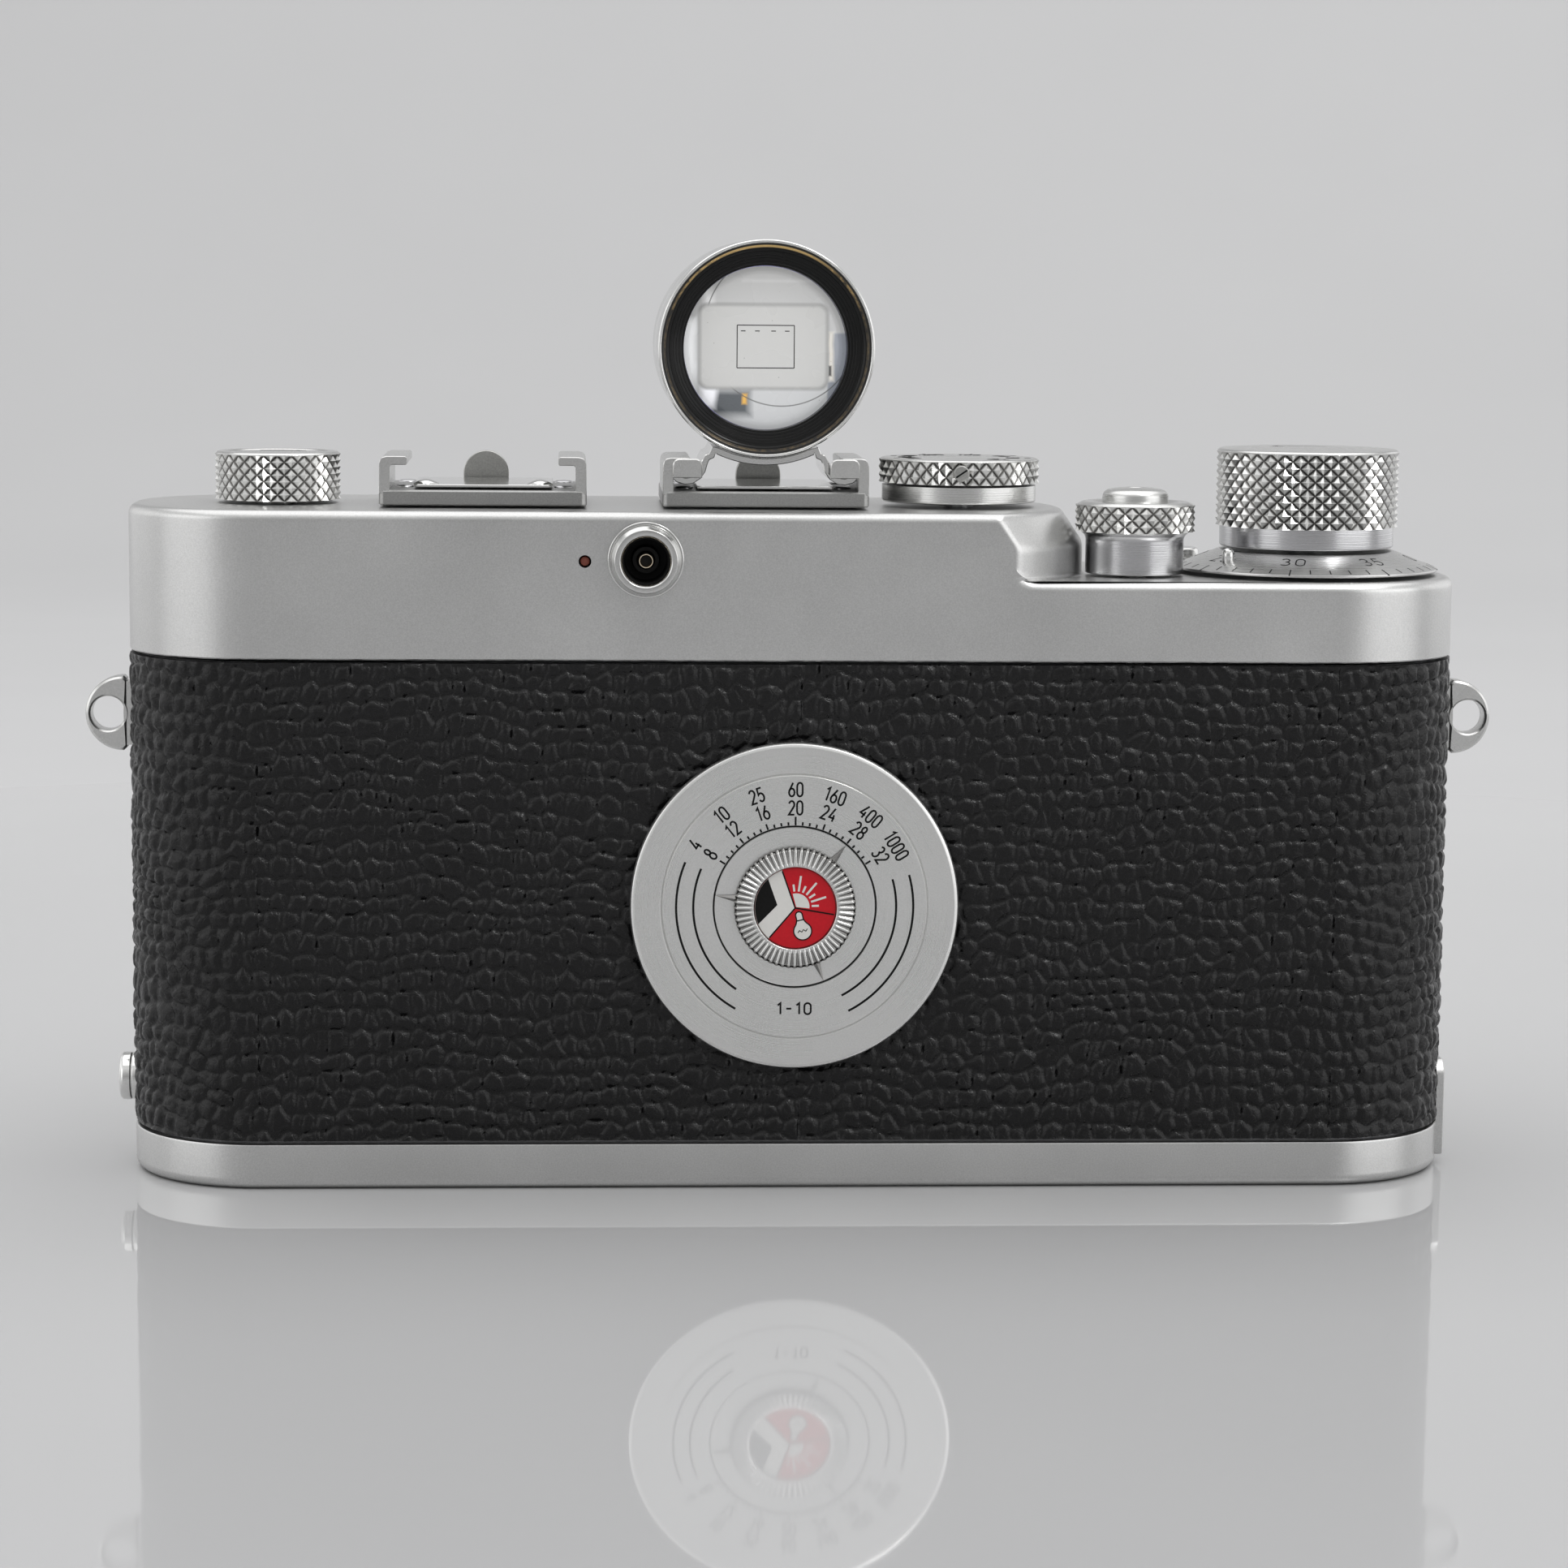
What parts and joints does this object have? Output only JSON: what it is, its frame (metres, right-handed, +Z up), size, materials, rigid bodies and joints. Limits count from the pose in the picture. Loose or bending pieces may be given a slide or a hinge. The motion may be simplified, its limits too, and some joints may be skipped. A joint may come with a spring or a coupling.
{
  "type": "bottom-loading 35 mm film camera",
  "caption": "Flat round-ended metal film camera with a leather band, knurled top knobs, removable base, collapsible lens and a clip-on round finder.",
  "frame": {"origin": "centre of the base plate, on its underside, where the camera stands", "axes": "+X towards the wind knob end, +Y out through the lens, +Z up"},
  "size_m": [0.1422, 0.055, 0.0935],
  "materials": {
    "base_plate": "satin chrome on brass",
    "tripod_bush": "bare turned steel",
    "lock_key": "satin chrome",
    "lock_bail": "polished",
    "body_shell": "dark grey inside",
    "leather_cover": "black coarse grain",
    "top_cover": "satin chrome on brass",
    "shutter_crate": "die-cast",
    "lens_mount_ring": "bright chrome",
    "lens_barrel": "satin chrome",
    "strap_lug_left": "satin chrome",
    "strap_lug_right": "satin chrome",
    "side_stud": "bright chrome",
    "hook_stud": "bright chrome",
    "shoe_left": "satin chrome",
    "shoe_right": "satin chrome",
    "shoe_spring_left": "spring steel",
    "shoe_spring_right": "spring steel",
    "sync_socket": "bright chrome",
    "sync_pin": "black insulator with metal pin",
    "index_screw": "red-brown lacquered",
    "release_collar": "knurled satin chrome",
    "pressure_plate": "blackened",
    "shutter_curtain": "rubberised cloth",
    "film_cassette": "black paint",
    "memo_base": "satin chrome",
    "release_button": "bright chrome",
    "release_spring": "spring steel",
    "wind_knob": "diamond knurl, satin chrome",
    "wind_shaft": "turned",
    "wind_gear": "cut",
    "counter_dial": "satin chrome, black engraving",
    "take_up_spool": "black paint",
    "sprocket": "satin chrome",
    "sprocket_gear": "cut",
    "shutter_drum": "turned",
    "drum_gear": "cut",
    "speed_collar": "satin chrome",
    "speed_dial": "knurled satin chrome",
    "dial_screw": "slotted set screw",
    "rewind_sleeve": "turned",
    "rewind_knob": "diamond knurl, satin chrome",
    "cassette_spool": "moulded",
    "memo_dial": "serrated satin chrome",
    "memo_insert": "red, black and white print",
    "slow_dial": "knurled satin chrome",
    "rewind_lever": "satin chrome",
    "focus_ring": "satin chrome",
    "focus_catch": "bright chrome",
    "lens_carrier": "satin chrome",
    "lens_tube": "polished chrome",
    "lens_front_ring": "satin chrome",
    "lens_front_glass": "coated",
    "lens_rear_glass": "coated",
    "aperture_ring": "black anodised",
    "finder_foot": "bright spring strap",
    "finder_barrel": "bright chrome",
    "finder_eye_ring": "black, worn to brass",
    "finder_eye_glass": "clear",
    "finder_front_glass": "clear"
  },
  "bodies": {
    "base": {"base_plate": "base_plate", "tripod_bush": "tripod_bush"},
    "key": {"lock_key": "lock_key"},
    "bail": {"lock_bail": "lock_bail"},
    "camera": {"body_shell": "body_shell", "leather_cover": "leather_cover", "top_cover": "top_cover", "shutter_crate": "shutter_crate", "lens_mount_ring": "lens_mount_ring", "lens_barrel": "lens_barrel", "strap_lug_left": "strap_lug_left", "strap_lug_right": "strap_lug_right", "side_stud": "side_stud", "hook_stud": "hook_stud", "shoe_left": "shoe_left", "shoe_right": "shoe_right", "shoe_spring_left": "shoe_spring_left", "shoe_spring_right": "shoe_spring_right", "sync_socket": "sync_socket", "sync_pin": "sync_pin", "index_screw": "index_screw", "release_collar": "release_collar", "pressure_plate": "pressure_plate", "shutter_curtain": "shutter_curtain", "film_cassette": "film_cassette", "memo_base": "memo_base"},
    "release": {"release_button": "release_button", "release_spring": "release_spring"},
    "wind": {"wind_knob": "wind_knob", "wind_shaft": "wind_shaft", "wind_gear": "wind_gear"},
    "counter": {"counter_dial": "counter_dial"},
    "spool": {"take_up_spool": "take_up_spool"},
    "sprocket": {"sprocket": "sprocket", "sprocket_gear": "sprocket_gear"},
    "shutter": {"shutter_drum": "shutter_drum", "drum_gear": "drum_gear"},
    "speed_lift": {"speed_collar": "speed_collar"},
    "speed_dial": {"speed_dial": "speed_dial", "dial_screw": "dial_screw"},
    "rewind_lift": {"rewind_sleeve": "rewind_sleeve"},
    "rewind": {"rewind_knob": "rewind_knob"},
    "cassette": {"cassette_spool": "cassette_spool"},
    "memo": {"memo_dial": "memo_dial", "memo_insert": "memo_insert"},
    "slow": {"slow_dial": "slow_dial"},
    "lever": {"rewind_lever": "rewind_lever"},
    "focus": {"focus_ring": "focus_ring", "focus_catch": "focus_catch"},
    "carrier": {"lens_carrier": "lens_carrier"},
    "tube": {"lens_tube": "lens_tube", "lens_front_ring": "lens_front_ring", "lens_front_glass": "lens_front_glass", "lens_rear_glass": "lens_rear_glass"},
    "iris": {"aperture_ring": "aperture_ring"},
    "finder": {"finder_foot": "finder_foot", "finder_barrel": "finder_barrel", "finder_eye_ring": "finder_eye_ring", "finder_eye_glass": "finder_eye_glass", "finder_front_glass": "finder_front_glass"}
  },
  "joints": [
    {"name": "body_tilt", "type": "hinge", "parent": "base", "child": "camera", "pos_m": [0.0662, 0, 0.011], "axis": [0, 1, 0], "range_deg": [0, 14]},
    {"name": "lock_turn", "type": "hinge", "parent": "base", "child": "key", "pos_m": [-0.048, 0, 0.0003], "axis": [0, 0, 1], "range_deg": [0, 180]},
    {"name": "bail_fold", "type": "hinge", "parent": "key", "child": "bail", "pos_m": [-0.048, 0, 0.00072], "axis": [-1, 0, 0], "range_deg": [0, 90]},
    {"name": "release_press", "type": "slide", "parent": "camera", "child": "release", "axis": [0, 0, -1], "range_m": [0, 0.0012], "stiffness_N_per_m": 400, "springref_m": -0.001, "deforming": ["release_spring"]},
    {"name": "wind_turn", "type": "hinge", "parent": "camera", "child": "wind", "pos_m": [0.05195, 0, 0.063], "axis": [0, 0, 1], "continuous": true},
    {"name": "counter_turn", "type": "hinge", "parent": "camera", "child": "counter", "pos_m": [0.05195, 0, 0.0607], "axis": [0, 0, 1], "continuous": true},
    {"name": "spool_turn", "type": "hinge", "parent": "camera", "child": "spool", "pos_m": [0.05195, 0, 0.009], "axis": [0, 0, 1], "continuous": true},
    {"name": "sprocket_turn", "type": "hinge", "parent": "camera", "child": "sprocket", "pos_m": [0.0338, -0.0047, 0.03], "axis": [0, 0, 1], "continuous": true},
    {"name": "shutter_turn", "type": "hinge", "parent": "camera", "child": "shutter", "pos_m": [0.0165, 0, 0.03], "axis": [0, 0, 1], "continuous": true},
    {"name": "speed_lift", "type": "slide", "parent": "shutter", "child": "speed_lift", "axis": [0, 0, 1], "range_m": [0, 0.0015]},
    {"name": "speed_set", "type": "hinge", "parent": "speed_lift", "child": "speed_dial", "pos_m": [0.0165, 0, 0.0693], "axis": [0, 0, 1], "range_deg": [0, 315]},
    {"name": "rewind_lift", "type": "slide", "parent": "camera", "child": "rewind_lift", "axis": [0, 0, 1], "range_m": [0, 0.005]},
    {"name": "rewind_turn", "type": "hinge", "parent": "rewind_lift", "child": "rewind", "pos_m": [-0.0518, 0, 0.0672], "axis": [0, 0, 1], "continuous": true},
    {"name": "cassette_turn", "type": "hinge", "parent": "camera", "child": "cassette", "pos_m": [-0.0518, 0, 0.006], "axis": [0, 0, 1], "continuous": true},
    {"name": "memo_turn", "type": "hinge", "parent": "camera", "child": "memo", "pos_m": [-0.0006, -0.016, 0.02855], "axis": [0, -1, 0], "range_deg": [-120, 120]},
    {"name": "slow_turn", "type": "hinge", "parent": "camera", "child": "slow", "pos_m": [0.03, 0.015, 0.041], "axis": [0, 1, 0], "range_deg": [0, 270]},
    {"name": "lever_turn", "type": "hinge", "parent": "camera", "child": "lever", "pos_m": [0.0406, 0.0106, 0.061], "axis": [0, 0, 1], "range_deg": [0, 60]},
    {"name": "focus_turn", "type": "hinge", "parent": "camera", "child": "focus", "pos_m": [-0.0034, 0.0213, 0.0285], "axis": [0, 1, 0], "range_deg": [0, 175]},
    {"name": "focus_travel", "type": "slide", "parent": "camera", "child": "carrier", "axis": [0, 1, 0], "range_m": [0, 0.0035]},
    {"name": "collapse_slide", "type": "slide", "parent": "carrier", "child": "tube", "axis": [0, 1, 0], "range_m": [0, 0.0165]},
    {"name": "iris_turn", "type": "hinge", "parent": "tube", "child": "iris", "pos_m": [-0.0034, 0.0355, 0.0285], "axis": [0, 1, 0], "range_deg": [0, 60]},
    {"name": "finder_slide", "type": "slide", "parent": "camera", "child": "finder", "axis": [0, -1, 0], "range_m": [0, 0.019]}
  ],
  "couplings": [
    {"joint": "counter_turn", "follows": "wind_turn", "ratio": 0.033333},
    {"joint": "spool_turn", "follows": "wind_turn", "ratio": 1},
    {"joint": "sprocket_turn", "follows": "wind_turn", "ratio": -1.3333},
    {"joint": "shutter_turn", "follows": "wind_turn", "ratio": 1.1111},
    {"joint": "cassette_turn", "follows": "rewind_turn", "ratio": 1},
    {"joint": "focus_travel", "follows": "focus_turn", "m_per_rad": 0.0011}
  ]
}
